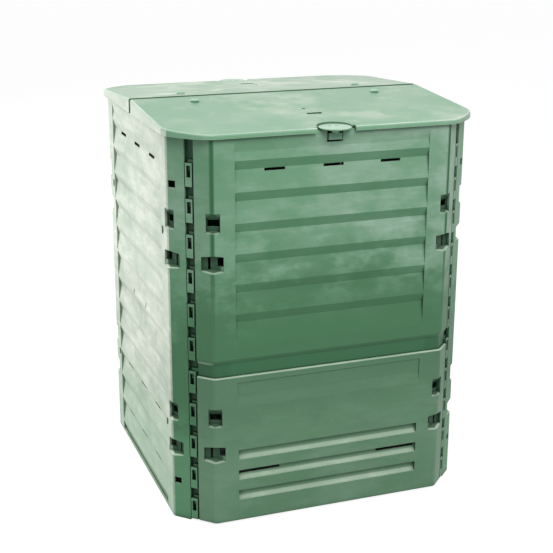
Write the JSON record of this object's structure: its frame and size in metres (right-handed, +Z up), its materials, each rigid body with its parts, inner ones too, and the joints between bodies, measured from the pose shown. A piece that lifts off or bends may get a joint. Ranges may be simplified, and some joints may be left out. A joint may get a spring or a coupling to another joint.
{
  "type": "compost bin",
  "caption": "Square compost bin with cut corners, plug-together boarded walls, vent slots, lift-out front and rear flaps, and a ridged lid in two hinged halves with turn latches.",
  "frame": {"origin": "on the ground at the middle of the footprint", "axes": "+X to the right of someone facing the front, front faces -Y, +Z up"},
  "size_m": [0.8, 0.854, 1.0208],
  "materials": {
    "wall_green": "satin recycled plastic, faintly mottled",
    "flap_green": "satin recycled plastic, faintly mottled",
    "lid_green": "satin, a little paler than the walls",
    "crossbar_green": "satin",
    "fitting_green": "satin"
  },
  "bodies": {
    "bin": {"left_wall": "wall_green", "right_wall": "wall_green", "front_wall_upper": "wall_green", "rear_wall_upper": "wall_green", "lid_crossbar": "crossbar_green", "hinge_pin_front_left": "fitting_green", "hinge_pin_front_right": "fitting_green", "hinge_pin_rear_left": "fitting_green", "hinge_pin_rear_right": "fitting_green"},
    "lid_half_front": {"lid_front": "lid_green", "hinge_strap_front_left": "fitting_green", "hinge_strap_front_right": "fitting_green", "lid_peg_front_left": "fitting_green", "lid_peg_front_right": "fitting_green"},
    "latch_front": {"latch_knob_front": "fitting_green", "latch_key_front": "fitting_green"},
    "flap_front": {"front_flap": "flap_green"},
    "lid_half_rear": {"lid_rear": "lid_green", "hinge_strap_rear_left": "fitting_green", "hinge_strap_rear_right": "fitting_green", "lid_peg_rear_left": "fitting_green", "lid_peg_rear_right": "fitting_green"},
    "latch_rear": {"latch_knob_rear": "fitting_green", "latch_key_rear": "fitting_green"},
    "flap_rear": {"rear_flap": "flap_green"}
  },
  "joints": [
    {"name": "lid_front_hinge", "type": "hinge", "parent": "bin", "child": "lid_half_front", "pos_m": [0, -0.018, 1.0085], "axis": [-1, 0, 0], "range_deg": [0, 88]},
    {"name": "lid_rear_hinge", "type": "hinge", "parent": "bin", "child": "lid_half_rear", "pos_m": [0, 0.018, 1.0085], "axis": [1, 0, 0], "range_deg": [0, 88]},
    {"name": "latch_front_turn", "type": "hinge", "parent": "lid_half_front", "child": "latch_front", "pos_m": [0, -0.387, 0.985], "axis": [0, 0, 1], "range_deg": [0, 90]},
    {"name": "latch_rear_turn", "type": "hinge", "parent": "lid_half_rear", "child": "latch_rear", "pos_m": [0, 0.387, 0.985], "axis": [0, 0, 1], "range_deg": [0, 90]},
    {"name": "flap_front_lift", "type": "slide", "parent": "bin", "child": "flap_front", "axis": [0, 0, 1], "range_m": [0, 0.0215]},
    {"name": "flap_rear_lift", "type": "slide", "parent": "bin", "child": "flap_rear", "axis": [0, 0, 1], "range_m": [0, 0.0215]}
  ]
}
